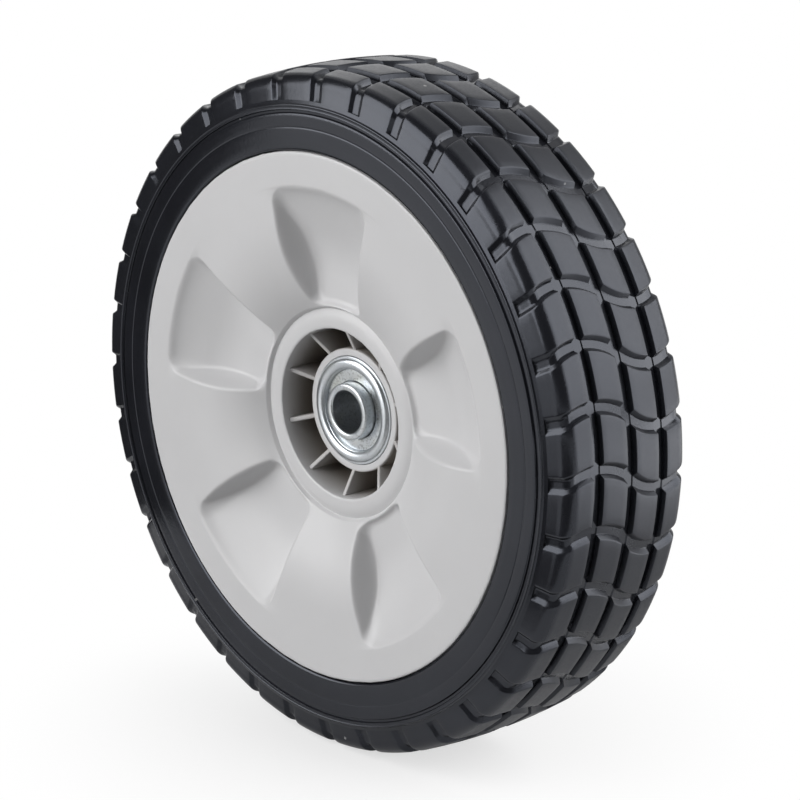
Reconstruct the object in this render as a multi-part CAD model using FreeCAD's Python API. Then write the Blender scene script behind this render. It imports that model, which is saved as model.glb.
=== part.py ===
import FreeCAD, Part
import math
import os

# Lawn mower wheel, in millimetres. The axle runs along Y, the outboard face looks towards -Y and Z is up.
V = FreeCAD.Vector
AXIS = V(0, 1, 0)
ORIGIN = V(0, 0, 0)

# Driving sizes of the wheel
tyre_radius = 101.6
wheel_width = 50.8
rim_radius = 78.3
bore_radius = 6.35
axle_span = 38.1
lug_count = 36
petal_count = 5
rib_count = 10
ball_count = 12

# Clearances, and the depth by which fused features run into each other
tyre_gap = 0.3
press_gap = 0.03
seat_gap = 0.1
ball_gap = 0.05
shield_gap = 0.35
overlap = 0.6

# Tyre: crown, shoulders, sides, tread and the key ways that hold it on the rim
crown_drop = 1.0
shoulder_radius = 4.0
shoulder_inset = 1.9
groove_depth = 2.6
groove_width = 3.4
groove_spacing = 12.5
notch_length = 8.6
notch_inset = 1.1
notch_depth = 1.9
floor_chamfer = 1.2
side_groove_drop = 11.8
side_groove_width = 1.0
side_groove_depth = 0.8
side_groove_draft = 0.2
wave_height = 3.9
cross_groove_width = 2.6
lug_start_deg = 0.35
key_height = 3.0
key_width = 6.0
key_spacing = 24.0

# Rim: barrel, dished disc, petals and the ribs of its open back
barrel_wall = 2.8
barrel_edge = 0.6
disc_wall = 3.0
flat_width = 20.3
dish_depth = 9.15
petal_floor_depth = 9.4
petal_crease_drop = 20.0
petal_end_inset = 10.3
petal_end_depth = 1.3
petal_half_width = 5.8
petal_taper = 0.223
petal_wall_slope = 0.48
petal_foot_gap = 2.6
petal_foot_slope = 0.8
petal_corner = 4.0
petal_wall = 2.6
petal_start_deg = 89.0
rib_wall = 2.0
rib_set_back = 8.0

# Hub: ring, recess with ribs, and the web round the sleeve
recess_radius = 25.3
hub_ring_width = 5.5
hub_ring_depth = 8.6
hub_wall = 2.8
hub_set_back = 3.2
sleeve_wall = 2.3
sleeve_depth = 14.5
throat_step = 1.4
hub_rib_wall = 1.4
hub_rib_depth = 10.8
web_wall = 2.5

# Bearing: flanged cup, balls, shield and extended inner ring
ball_radius = 2.38
ball_room = 1.2
race_floor = 1.97
race_shoulder = 1.45
cup_wall = 1.11
cup_lip_gap = 1.2
cup_lip_wall = 1.0
flange_width = 1.9
flange_wall = 1.3
flange_proud = 0.3
ridge_height = 1.0
ridge_half_width = 1.5
ridge_margin = 0.7
ring_wall = 2.15
ring_shoulder_end = 0.3
ring_proud = 2.7
ring_lip = 0.5
ring_tail = 0.4
shield_wall = 0.7
shield_set_back = 1.0
shield_ball_gap = 0.32
shield_back_gap = 0.2

# Radii that follow
notch_end_radius = tyre_radius - notch_length
side_groove_radius = tyre_radius - side_groove_drop
flat_radius = rim_radius - flat_width
petal_end_radius = rim_radius - petal_end_inset
petal_crease_radius = petal_end_radius - petal_crease_drop
hub_ring_radius = recess_radius + hub_ring_width
hub_outer_radius = recess_radius + hub_wall
petal_foot_radius = hub_ring_radius + petal_foot_gap
dish_run = flat_radius - hub_ring_radius
dish_radius = (dish_run ** 2 + dish_depth ** 2) / (2 * dish_depth)
race_radius = ball_radius + ball_gap
pitch_radius = bore_radius + race_floor + race_radius
ring_radius = bore_radius + ring_wall
ring_shoulder_radius = pitch_radius - race_shoulder
cup_shoulder_radius = pitch_radius + race_shoulder
cup_lip_radius = ring_radius + cup_lip_gap
cup_radius = pitch_radius + race_radius + cup_wall
flange_radius = cup_radius + flange_width
ridge_radius = flange_radius - ridge_margin - ridge_half_width
sleeve_radius = flange_radius + sleeve_wall

# Places along the axle that follow
half_width = wheel_width / 2
face = -half_width
shoulder_half_width = half_width - shoulder_inset
crown_half_width = shoulder_half_width - shoulder_radius
lug_pitch_deg = 360.0 / lug_count
rib_pitch_deg = 360.0 / rib_count
petal_pitch_deg = 360.0 / petal_count
sleeve_end = face + sleeve_depth
flange_face = sleeve_end - flange_proud
ring_end = flange_face - ring_proud
wheel_middle = ring_end + axle_span / 2
sleeve_back = 2 * wheel_middle - sleeve_end
hub_back = sleeve_back - hub_set_back
shield_face = flange_face + shield_set_back
shield_back = shield_face + shield_wall
ball_place = shield_back + shield_ball_gap + ball_radius
cup_lip_front = ball_place + ball_radius + ball_room
cup_back = cup_lip_front + cup_lip_wall


def lines(points):
    """Straight edges through (radius, y) points, left open."""
    places = [V(r, y, 0) for r, y in points]
    return [Part.LineSegment(a, b).toShape() for a, b in zip(places, places[1:])]


def arc(start, middle, end):
    """One arc through three (radius, y) points."""
    return Part.Arc(*[V(r, y, 0) for r, y in (start, middle, end)]).toShape()


def turned(edges, degrees=360.0):
    """Solid of revolution about the axle from the edges of a closed half section."""
    section = Part.Face(Part.Wire(Part.__sortEdges__(edges)))
    return section.revolve(ORIGIN, AXIS, degrees)


def turned_polygon(points):
    """Solid of revolution of a closed polygon of (radius, y) points."""
    return turned(lines(points + points[:1]))


def ring(inner, outer, start, end):
    """Plain ring between two radii and two places along the axle."""
    return turned_polygon([(inner, start), (outer, start), (outer, end), (inner, end)])


def spun(shape, degrees):
    """Copy turned about the axle, anticlockwise as seen from the outboard side."""
    copy = shape.copy()
    copy.rotate(ORIGIN, V(0, -1, 0), degrees)
    return copy


def radial_plate(inner, outer, start, end, wall):
    """Flat plate along the radius that points to +X."""
    return Part.makeBox(outer - inner, end - start, wall, V(inner, start, -wall / 2))


def inboard(shape):
    """Copy of an outboard bearing piece mirrored to the inboard end of the axle span."""
    return shape.mirror(V(0, wheel_middle, 0), AXIS)


def save(shape, name):
    shape.exportStep(os.path.join("parts", name + ".step"))


# Tyre
def crown_at(y, depth=0.0):
    """Radius of the crown, or of the surface a depth below it, at a place along the axle."""
    return tyre_radius - depth - crown_drop * (y / crown_half_width) ** 2


def carcass():
    """Tyre body up to the groove floors, with side grooves and the key ways for the rim."""
    bore = rim_radius + tyre_gap
    key_top = bore + key_height
    key_near = key_spacing / 2 - key_width / 2 - tyre_gap
    key_far = key_spacing / 2 + key_width / 2 + tyre_gap
    low = side_groove_radius - side_groove_width / 2
    high = side_groove_radius + side_groove_width / 2
    side_floor = half_width - side_groove_depth
    ledge = half_width - notch_inset
    floor_side = shoulder_half_width - notch_depth
    floor_edge = floor_side - floor_chamfer
    half = [
        (bore, key_near), (key_top, key_near), (key_top, key_far), (bore, key_far), (bore, half_width),
        (low, half_width), (low + side_groove_draft, side_floor), (high - side_groove_draft, side_floor),
        (high, half_width), (notch_end_radius, ledge), (notch_end_radius, ledge - notch_depth),
        (crown_at(floor_edge, groove_depth) - floor_chamfer, floor_side),
        (crown_at(floor_edge, groove_depth), floor_edge),
    ]
    other = [(r, -y) for r, y in half]
    tread = arc(half[-1], (tyre_radius - groove_depth, 0), other[-1])
    return turned(lines(half[::-1] + other) + [tread])


def crown_arc(start, end):
    """Arc of the crown between two places along the axle."""
    middle = (start + end) / 2
    return arc((crown_at(start), start), (crown_at(middle), middle), (crown_at(end), end))


def row_section(start, end):
    """Half section of one inner row of blocks."""
    root = groove_depth + overlap
    sides = lines([(crown_at(end), end), (crown_at(end, root), end),
                   (crown_at(start, root), start), (crown_at(start), start)])
    return sides + [crown_arc(start, end)]


def shoulder_section(start):
    """Half section of the shoulder row, round the shoulder and down the side to the notch ends."""
    end = crown_half_width
    centre = crown_at(end) - shoulder_radius
    slant = shoulder_radius * math.sqrt(0.5)
    side = (centre, shoulder_half_width)
    shoulder = arc((crown_at(end), end), (centre + slant, end + slant), side)
    root = crown_at(start, groove_depth + overlap)
    rest = lines([side, (notch_end_radius, half_width - notch_inset), (notch_end_radius - overlap, end),
                  (root, start), (crown_at(start), start)])
    return [crown_arc(start, end), shoulder] + rest


def cross_groove():
    """Bar that parts two blocks, one wave across the tread: an arc up outboard and an arc down inboard."""
    chord = half_width + overlap
    radius = (chord ** 2 / 4 + wave_height ** 2) / (2 * wave_height)
    lean = math.asin(chord / 2 / radius)
    bars = []
    for way in (-1, 1):
        centre = V(0, way * chord / 2, way * (radius - wave_height))
        walls = []
        for r in (radius - cross_groove_width / 2, radius + cross_groove_width / 2):
            tip = r * math.sin(lean)
            foot = -way * r * math.cos(lean)
            ends = [centre + V(0, -tip, foot), centre + V(0, 0, -way * r), centre + V(0, tip, foot)]
            walls.append(Part.Arc(*ends).toShape())
        corners = zip(walls[0].Vertexes, walls[1].Vertexes)
        caps = [Part.LineSegment(a.Point, b.Point).toShape() for a, b in corners]
        outline = Part.Wire(Part.__sortEdges__(walls + caps))
        bars.append(Part.Face(outline).extrude(V(tyre_radius + overlap, 0, 0)))
    return bars


def block(section, side):
    """One block of a row on the outboard (-1) or inboard (1) side, between two cross grooves."""
    spare = lug_pitch_deg
    sector = spun(turned(section, spare + lug_pitch_deg + spare), lug_pitch_deg + spare)
    if side < 0:
        sector = sector.mirror(ORIGIN, AXIS)
    cutters = [spun(bar, step * lug_pitch_deg) for step in (0, 1) for bar in cross_groove()]
    middle = spun(Part.Vertex(1, 0, 0), lug_pitch_deg / 2).Point
    return max(sector.cut(cutters).Solids, key=lambda piece: piece.CenterOfMass.dot(middle))


def tyre():
    """Carcass with the blocks of all four rows fused to it."""
    half_groove = groove_width / 2
    sections = [row_section(half_groove, groove_spacing - half_groove),
                shoulder_section(groove_spacing + half_groove)]
    blocks = []
    for side in (-1, 1):
        for section in sections:
            first = block(section, side)
            blocks += [spun(first, lug_start_deg + step * lug_pitch_deg) for step in range(lug_count)]
    return carcass().fuse(blocks)


# Rim
def dish_edges(shift):
    """Front curve of the dished disc from the flat to the hub ring, moved along the axle by a shift."""
    half_run = dish_run / 2
    y = face + shift
    start = (flat_radius, y)
    middle = (flat_radius - half_run, y + dish_radius - math.sqrt(dish_radius ** 2 - half_run ** 2))
    return [arc(start, middle, (hub_ring_radius, y + dish_depth))]


def rim_shell():
    """Barrel with its keys, dished disc, hub ring and hub wall, turned as one section."""
    inner = rim_radius - barrel_wall
    disc_back = face + disc_wall
    hub_disc_back = disc_back + dish_depth
    key_top = rim_radius + key_height
    keys = []
    for place in (key_spacing / 2, -key_spacing / 2):
        near = place + key_width / 2
        far = place - key_width / 2
        keys += [(rim_radius, near), (key_top, near), (key_top, far), (rim_radius, far)]
    edge = [(rim_radius, face + barrel_edge), (rim_radius - barrel_edge, face), (flat_radius, face)]
    outside = lines([(inner, half_width), (rim_radius, half_width)] + keys + edge)
    hub = lines([(hub_ring_radius, face + dish_depth), (hub_ring_radius, face + hub_ring_depth),
                 (recess_radius, face + hub_ring_depth), (recess_radius, hub_back),
                 (hub_outer_radius, hub_back), (hub_outer_radius, hub_disc_back),
                 (hub_ring_radius, hub_disc_back)])
    inside = lines([(flat_radius, disc_back), (inner, disc_back), (inner, half_width)])
    return turned(outside + dish_edges(0) + hub + dish_edges(disc_wall) + inside)


def behind_disc(shift):
    """Everything behind the disc's front curve moved back by a shift, out to the barrel."""
    outer = rim_radius - barrel_wall / 2
    inner = recess_radius + hub_wall / 2
    y = face + shift
    rest = lines([(hub_ring_radius, y + dish_depth), (inner, y + dish_depth), (inner, half_width),
                  (outer, half_width), (outer, y), (flat_radius, y)])
    return turned(dish_edges(shift) + rest)


def petal(grow):
    """Petal room on +X, grown all round: floor with a crease and ramp, leaning walls and a cone at the hub."""
    outer = petal_end_radius + grow
    above = face - petal_floor_depth
    floor = face + petal_floor_depth + grow
    foot = petal_foot_radius - grow
    cone_end = foot - petal_foot_slope * (floor - above)
    room = turned_polygon([(cone_end, above), (foot, floor), (petal_crease_radius + grow / 2, floor),
                           (outer, face + petal_end_depth + grow), (outer, above)])
    inner = cone_end / 2
    outlines = []
    for y in (above, floor + overlap):
        middle = petal_half_width + grow - petal_wall_slope * (y - face)
        near = middle + petal_taper * inner
        far = middle + petal_taper * outer
        corners = [V(inner, y, -near), V(outer, y, -far), V(outer, y, far), V(inner, y, near)]
        outlines.append(Part.makePolygon(corners + corners[:1]))
    return Part.makeLoft(outlines, True, True).common(room)


def petal_recess():
    """Petal room with its four upright corners rounded."""
    room = petal(0).Solids[0]
    above = room.BoundBox.YMin + press_gap
    corners = [edge for edge in room.Edges if edge.BoundBox.YMin < above < edge.BoundBox.YMax]
    return room.makeFillet(petal_corner, corners)


def sleeve():
    """Tube that holds both cups, with a narrower throat between them and a seat for each flange."""
    bore = cup_radius + press_gap
    seat = flange_radius + seat_gap
    seat_floor = flange_face + flange_wall
    throat = cup_radius - throat_step
    half = [(throat, cup_back + press_gap), (bore, cup_back + press_gap), (bore, seat_floor),
            (seat, seat_floor), (seat, sleeve_end), (sleeve_radius, sleeve_end)]
    other = [(r, 2 * wheel_middle - y) for r, y in half]
    return turned_polygon(half + other[::-1])


def hub_rib():
    """Thin rib on +X between sleeve and hub wall, whose front edge slopes in towards the sleeve."""
    inner = sleeve_radius - overlap
    outer = recess_radius + overlap
    back = hub_back - overlap
    low = sleeve_end + press_gap
    high = face + hub_rib_depth
    outline = lines([(inner, back), (inner, low), (sleeve_radius, low), (recess_radius, high),
                     (outer, high), (outer, back), (inner, back)])
    plate = Part.Face(Part.Wire(outline)).extrude(V(0, 0, hub_rib_wall))
    plate.translate(V(0, 0, -hub_rib_wall / 2))
    return plate


def rim():
    """Shell, petals, back ribs, sleeve, hub ribs and web as one moulding."""
    petal_angles = [petal_start_deg + step * petal_pitch_deg for step in range(petal_count)]
    rib_angles = [petal_start_deg + step * rib_pitch_deg for step in range(rib_count)]
    inner = recess_radius + hub_wall / 2
    outer = rim_radius - barrel_wall / 2
    plate = radial_plate(inner, outer, face, half_width - rib_set_back, rib_wall)
    pods = [spun(petal(petal_wall), angle) for angle in petal_angles]
    ribs = [spun(plate, angle) for angle in rib_angles]
    backing = pods[0].fuse(pods[1:] + ribs).common(behind_disc(disc_wall / 2))
    shell = rim_shell().fuse(backing).cut([spun(petal_recess(), angle) for angle in petal_angles])
    web_front = wheel_middle - web_wall / 2
    web = ring(sleeve_radius - overlap, recess_radius + overlap, web_front, web_front + web_wall)
    hub_ribs = [spun(hub_rib(), angle) for angle in rib_angles]
    return shell.fuse([sleeve(), web] + hub_ribs).removeSplitter()


# Bearings
def race(edge_radius):
    """Arc of a ball race between its two edges at a shoulder radius."""
    reach = math.sqrt(race_radius ** 2 - (edge_radius - pitch_radius) ** 2)
    deepest = pitch_radius + math.copysign(race_radius, edge_radius - pitch_radius)
    ends = [(edge_radius, ball_place - reach), (edge_radius, ball_place + reach)]
    return arc(ends[0], (deepest, ball_place), ends[1]), reach


def cup():
    """Pressed outer race with a flange, a rounded ridge and a turned-in lip at the back."""
    groove, reach = race(cup_shoulder_radius)
    ridge_in = (ridge_radius - ridge_half_width, flange_face)
    ridge_out = (ridge_radius + ridge_half_width, flange_face)
    ridge = arc(ridge_in, (ridge_radius, flange_face - ridge_height), ridge_out)
    flange_back = flange_face + flange_wall - press_gap
    outside = lines([ridge_out, (flange_radius, flange_face), (flange_radius, flange_back),
                     (cup_radius, flange_back), (cup_radius, cup_back), (cup_lip_radius, cup_back),
                     (cup_lip_radius, cup_lip_front), (cup_shoulder_radius, cup_lip_front),
                     (cup_shoulder_radius, ball_place + reach)])
    mouth = [(cup_shoulder_radius, ball_place - reach), (cup_shoulder_radius, flange_face)]
    inside = lines(mouth + [ridge_in])
    return turned(outside + [groove] + inside + [ridge])


def inner_ring():
    """Inner race that stands proud of the flange and clamps on the axle bolt."""
    groove, reach = race(ring_shoulder_radius)
    shoulder = shield_back + shield_back_gap
    shoulder_back = cup_lip_front - ring_shoulder_end
    tail = cup_back + ring_tail
    lip_back = ring_end + ring_lip
    front = lines([(bore_radius, tail), (bore_radius, lip_back), (bore_radius + ring_lip, ring_end),
                   (ring_radius - ring_lip, ring_end), (ring_radius, lip_back), (ring_radius, shoulder),
                   (ring_shoulder_radius, shoulder), (ring_shoulder_radius, ball_place - reach)])
    rear = lines([(ring_shoulder_radius, ball_place + reach), (ring_shoulder_radius, shoulder_back),
                  (ring_radius, shoulder_back), (ring_radius, tail), (bore_radius, tail)])
    return turned(front + [groove] + rear)


def shield():
    """Washer that closes the ball space, pressed into the cup and clear of the inner ring."""
    return ring(ring_radius + shield_gap, cup_shoulder_radius - press_gap, shield_face, shield_back)


def ball(step):
    """One ball of the set, spaced evenly round the pitch circle."""
    centre = V(pitch_radius, ball_place, 0)
    return spun(Part.makeSphere(ball_radius, centre), step * 360.0 / ball_count)


os.makedirs("parts", exist_ok=True)
save(tyre(), "tyre")
save(rim(), "rim")
pieces = {"cup": cup(), "inner_ring": inner_ring(), "shield": shield()}
pieces.update({"ball_%d" % (step + 1): ball(step) for step in range(ball_count)})
for name, shape in pieces.items():
    save(shape, "outboard_" + name)
    save(inboard(shape), "inboard_" + name)
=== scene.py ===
import math

import bmesh
import bpy
import numpy as np
from bpy.props import FloatProperty, FloatVectorProperty, IntProperty, PointerProperty
from mathutils import Matrix, Vector


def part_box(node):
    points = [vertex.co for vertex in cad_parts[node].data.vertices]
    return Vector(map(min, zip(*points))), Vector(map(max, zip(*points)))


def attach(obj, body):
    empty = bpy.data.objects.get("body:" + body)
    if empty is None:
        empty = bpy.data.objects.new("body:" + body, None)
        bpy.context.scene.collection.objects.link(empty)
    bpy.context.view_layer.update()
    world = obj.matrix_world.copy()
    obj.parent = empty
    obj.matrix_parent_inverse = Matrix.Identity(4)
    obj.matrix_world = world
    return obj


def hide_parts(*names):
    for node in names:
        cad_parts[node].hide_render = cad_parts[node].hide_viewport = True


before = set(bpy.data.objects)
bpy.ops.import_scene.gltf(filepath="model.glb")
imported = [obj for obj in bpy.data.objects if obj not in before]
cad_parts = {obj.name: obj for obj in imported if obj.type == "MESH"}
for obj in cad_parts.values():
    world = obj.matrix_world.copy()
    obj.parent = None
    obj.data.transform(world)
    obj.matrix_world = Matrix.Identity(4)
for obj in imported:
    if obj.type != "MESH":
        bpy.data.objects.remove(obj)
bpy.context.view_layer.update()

bl_info = {
    "name": "Mower wheel",
    "version": (1, 0, 0),
    "blender": (4, 5, 0),
    "location": "View3D > Sidebar > Wheel",
    "description": "Builds a mower wheel with a block tread, a moulded rim and flanged ball bearings",
    "category": "Object",
}

MM = 0.001
TYRE_LOW, TYRE_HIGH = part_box("tyre")
RIM_LOW, RIM_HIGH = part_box("rim")
SPAN_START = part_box("outboard_inner_ring")[0].y
SPAN_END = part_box("inboard_inner_ring")[1].y
SPAN_MIDDLE = (SPAN_START + SPAN_END) / 2
SHARP_ANGLE = math.radians(32)
MERGE_DISTANCE = 0.001 * MM
CORNER_POINTS = 5
TURNED_COLUMNS = 192


# Properties
def length(label, words, millimetres):
    """A size in metres, written in millimetres."""
    return FloatProperty(name=label, description=words, default=millimetres * MM, unit="LENGTH", precision=5)


def colour(label, words, value):
    """A colour in linear light."""
    return FloatVectorProperty(name=label, description=words, default=value, subtype="COLOR", min=0, max=1)


def angle(label, words, degrees):
    """An angle, written in degrees."""
    return FloatProperty(name=label, description=words, default=math.radians(degrees), subtype="ANGLE")


def ratio(label, words, value):
    """A plain number."""
    return FloatProperty(name=label, description=words, default=value)


def power(label, words, watts):
    """The power of a lamp."""
    return FloatProperty(name=label, description=words, default=watts, unit="POWER")


class TyreSizes(bpy.types.PropertyGroup):
    """Sizes and colours of the tyre."""

    radius: length("Radius", "Radius over the tread", TYRE_HIGH.z / MM)
    half_width: length("Half width", "Half the width over the sides", TYRE_HIGH.y / MM)
    bore: length("Bore", "Radius of the seat on the rim", 78.6)
    crown_drop: length("Crown drop", "Fall of the crown from the middle to the shoulder", 1.0)
    shoulder: length("Shoulder", "Radius of the rounded shoulder", 4.0)
    shoulder_inset: length("Shoulder inset", "How far the shoulder lies inside the side", 1.9)
    lug_foot_inset: length("Lug foot inset", "How far the foot of a lug's end lies inside the side", 1.1)
    groove_depth: length("Groove depth", "Depth of the round grooves", 1.95)
    cross_depth: length("Cross depth", "Depth of the cross grooves", 1.65)
    groove_spacing: length("Groove spacing", "Distance between the round grooves", 12.75)
    notch_depth: length("Notch depth", "Depth of the cross grooves on the side", 0.95)
    notch_length: length("Notch length", "How far the cross grooves reach down the side", 8.6)
    wave_outboard: length("Outboard wave", "Swing of the cross grooves on the outboard half", 4.3)
    wave_inboard: length("Inboard wave", "Swing of the cross grooves on the inboard half", 5.4)
    wave_margin: length("Wave margin", "How far one wave reaches past the side", 0.6)
    lugs: IntProperty(name="Lugs", description="Number of blocks in a row", default=36, min=3)
    start: angle("Start", "Angle of the first cross groove", 0.0)
    rubber: colour("Rubber", "Colour of the rubber", (0.0103, 0.0108, 0.0135))
    dust: colour("Dust", "Colour of the pale specks on the rubber", (0.22, 0.22, 0.22))
    sheen: colour("Sheen", "Tint of the rubber's reflections", (0.82, 0.87, 1.0))
    groove_rough: ratio("Groove roughness", "Roughness in the grooves and low on the sides", 0.15)
    crown_rough: ratio("Crown roughness", "Roughness on top of the blocks", 0.38)
    flank_rough: ratio("Flank roughness", "Roughness on the outer ends of the lugs", 0.22)


class RimSizes(bpy.types.PropertyGroup):
    """Sizes and colours of the moulded rim."""

    radius: length("Radius", "Radius of the barrel", 78.3)
    barrel_wall: length("Barrel wall", "Wall of the barrel", 2.8)
    disc_wall: length("Disc wall", "Wall of the dished disc", 3.0)
    key_height: length("Key height", "Height of the keys that hold the tyre", 3.0)
    key_width: length("Key width", "Width of a key", 6.0)
    key_spacing: length("Key spacing", "Distance between the two keys", 24.0)
    flat_radius: length("Flat radius", "Where the flat edge turns into the dish", 58.0)
    dish_depth: length("Dish depth", "Depth of the dish at the hub ring", 9.15)
    petal_end: length("Petal end", "Radius of the outer ends of the petals", 68.0)
    petal_end_depth: length("Petal end depth", "Depth of a petal at its outer end", 1.3)
    petal_end_slope: ratio("Petal end slope", "Run of the outer end by its depth", 1.2)
    petal_crease: length("Petal crease", "Radius where a petal's floor starts to rise", 48.0)
    petal_crease_bend: length("Petal crease bend", "Rounding of the crease", 7.0)
    petal_depth: length("Petal depth", "Depth of a petal's floor", 9.4)
    petal_half_width: length("Petal half width", "Half width of a petal, carried in to the axle", 5.8)
    petal_taper: ratio("Petal taper", "Growth of the half width", 0.223)
    petal_slope: ratio("Petal slope", "Run of a petal's wall by its depth", 0.42)
    petal_foot: length("Petal foot", "Radius of the inner end at the floor", 33.4)
    petal_foot_slope: ratio("Petal foot slope", "Run of the inner end by its depth", 0.8)
    petal_corner: length("Petal corner", "Radius of a petal's corners", 4.0)
    petal_edge: length("Petal edge", "Rounding of a petal's upper edge", 2.0)
    petal_fillet: length("Petal fillet", "Rounding at the foot of a petal's wall", 2.2)
    petal_wall: length("Petal wall", "Wall round a petal on the back", 2.6)
    petals: IntProperty(name="Petals", description="Number of petals", default=5, min=2)
    start: angle("Start", "Angle of the first petal", 89.0)
    recess: length("Recess", "Radius of the recess in the hub", 25.3)
    ring_width: length("Ring width", "Width of the hub ring", 5.5)
    ring_depth: length("Ring depth", "Depth of the hub ring", 8.6)
    hub_wall: length("Hub wall", "Wall of the hub", 2.8)
    hub_back: length("Hub back", "Place of the hub's inboard edge", 18.0)
    sleeve: length("Sleeve", "Radius of the sleeve round the bearings", 18.5)
    sleeve_depth: length("Sleeve depth", "Depth of the sleeve's end", 14.5)
    throat_step: length("Throat step", "How far the sleeve steps in behind a cup", 1.4)
    web_wall: length("Web wall", "Wall of the web between sleeve and hub", 2.5)
    rib_depth: length("Rib depth", "Depth of the hub ribs at the hub's wall", 10.8)
    rib_wall: length("Rib wall", "Wall of a hub rib", 1.4)
    back_rib_wall: length("Back rib wall", "Wall of a rib of the open back", 2.0)
    back_rib_set: length("Back rib set back", "How far the back ribs stop short of the edge", 8.0)
    plastic: colour("Plastic", "Colour of the moulded plastic", (0.575, 0.573, 0.58))
    # Shade is painted shade: the darker colour that the plastic takes deep in the hub's recess and on the
    # sleeve, where shadow falls
    shade: colour("Shade", "Colour of the plastic deep in the hub's recess", (0.27, 0.245, 0.22))
    speck: colour("Speck", "Colour of the specks in the plastic", (0.35, 0.34, 0.33))


class BearingSizes(bpy.types.PropertyGroup):
    """Sizes and colours of the two bearings."""

    bore: length("Bore", "Radius of the axle bore", 6.35)
    ring: length("Ring", "Outer radius of the extended inner ring", 8.5)
    ring_proud: length("Ring proud", "How far the inner ring stands proud of the flange", 2.7)
    ring_shoulder: length("Ring shoulder", "Radius of the inner ring beside the balls", 9.3)
    cup: length("Cup", "Outer radius of the cup", 14.29)
    cup_mouth: length("Cup mouth", "Inner radius of the cup", 12.2)
    cup_lip: length("Cup lip", "Radius of the turned-in lip at the back", 9.7)
    cup_length: length("Cup length", "Length of the cup", 9.0)
    lip_wall: length("Lip wall", "Thickness of the lip", 1.0)
    race: length("Race", "Radius of the races round a ball", 2.43)
    ball_depth: length("Ball depth", "How far the balls lie behind the flange's face", 4.4)
    flange: length("Flange", "Radius of the flange", 16.2)
    flange_proud: length("Flange proud", "How far the flange's face stands out of the sleeve", 0.3)
    flange_wall: length("Flange wall", "Thickness of the flange", 1.27)
    ridge: length("Ridge", "Radius of the middle of the pressed ridge", 14.0)
    ridge_width: length("Ridge width", "Half width of the ridge", 1.5)
    ridge_height: length("Ridge height", "Height of the ridge", 1.0)
    shield_set: length("Shield set back", "How far the shield lies behind the flange", 1.0)
    shield_wall: length("Shield wall", "Thickness of the shield", 0.7)
    shield_gap: length("Shield gap", "Gap between shield and inner ring", 0.35)
    zinc: colour("Zinc", "Colour of the zinc plating", (0.6, 0.63, 0.66))
    passivation: colour("Passivation", "Yellowish tint of the plating", (0.6, 0.61, 0.56))
    steel: colour("Steel", "Colour of the balls", (0.58, 0.58, 0.6))


class StageSettings(bpy.types.PropertyGroup):
    """Camera, floor and light."""

    azimuth: angle("Azimuth", "Camera's turn about the wheel", 47.0958)
    elevation: angle("Elevation", "Camera's height as an angle", 15.8721)
    place: FloatVectorProperty(name="Camera place", description="Where the camera stands",
                               default=(0.69205, -0.63555, 0.26819), subtype="XYZ", unit="LENGTH")
    lens: ratio("Lens", "Focal length on a 36 mm sensor", 149.256)
    fill: ratio("Fill", "Strength of the even light all round", 0.06)
    key: power("Key", "Power of the soft box at the front left", 27)
    right: power("Right", "Power of the soft box behind on the right", 29)
    left: power("Left", "Power of the soft box behind on the left", 1.8)
    floor: colour("Floor", "Colour of the floor", (0.9, 0.9, 0.9))
    bounce: ratio("Bounce", "Share of the floor's light that reaches the wheel", 0.32)


# Meshes
def grid_quads(rows, columns):
    """Quads of a grid that wraps round both ways: each joins a point with its next row and column."""
    row, column = np.meshgrid(np.arange(rows), np.arange(columns), indexing="ij")
    next_row = (row + 1) % rows
    next_column = (column + 1) % columns
    corners = [row * columns + column, row * columns + next_column,
               next_row * columns + next_column, next_row * columns + column]
    return np.stack(corners, -1).reshape(-1, 4)


def facing_out(points, quads):
    """The quads, turned round where the volume that they close comes out negative."""
    a, b, c, d = (points[quads[:, k]] for k in range(4))
    volume = np.einsum("ij,ij->", a, np.cross(b, c)) + np.einsum("ij,ij->", a, np.cross(c, d))
    return quads if volume > 0 else quads[:, ::-1]


def add_piece(name, surfaces, material, body, node):
    """One mesh from closed grids of points, which rides on a body and stands for a CAD node."""
    parts = []
    count = 0
    for surface in surfaces:
        points = surface.reshape(-1, 3)
        parts.append((points, facing_out(points, grid_quads(*surface.shape[:2])) + count))
        count += len(points)
    points = np.concatenate([part[0] for part in parts])
    quads = np.concatenate([part[1] for part in parts])
    mesh = bpy.data.meshes.new(name)
    mesh.vertices.add(len(points))
    mesh.vertices.foreach_set("co", points.ravel())
    mesh.loops.add(quads.size)
    mesh.loops.foreach_set("vertex_index", quads.ravel())
    mesh.polygons.add(len(quads))
    mesh.polygons.foreach_set("loop_start", np.arange(len(quads)) * 4)
    mesh.update(calc_edges=True)
    close_poles(mesh)
    mesh.shade_smooth()
    mesh.set_sharp_from_angle(angle=SHARP_ANGLE)
    mesh.materials.append(material)
    piece = bpy.data.objects.new(name, mesh)
    bpy.context.scene.collection.objects.link(piece)
    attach(piece, body)
    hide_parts(node)


def close_poles(mesh):
    """Merges points that lie on each other, as at the ends of a rib."""
    work = bmesh.new()
    work.from_mesh(mesh)
    bmesh.ops.remove_doubles(work, verts=work.verts, dist=MERGE_DISTANCE)
    work.to_mesh(mesh)
    work.free()


def round_axle(radius, place, phi):
    """Points at a radius, a place along the axle and an angle from +X towards +Z."""
    radius, place, phi = np.broadcast_arrays(radius, place, phi)
    return np.stack([radius * np.cos(phi), place, radius * np.sin(phi)], -1)


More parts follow.
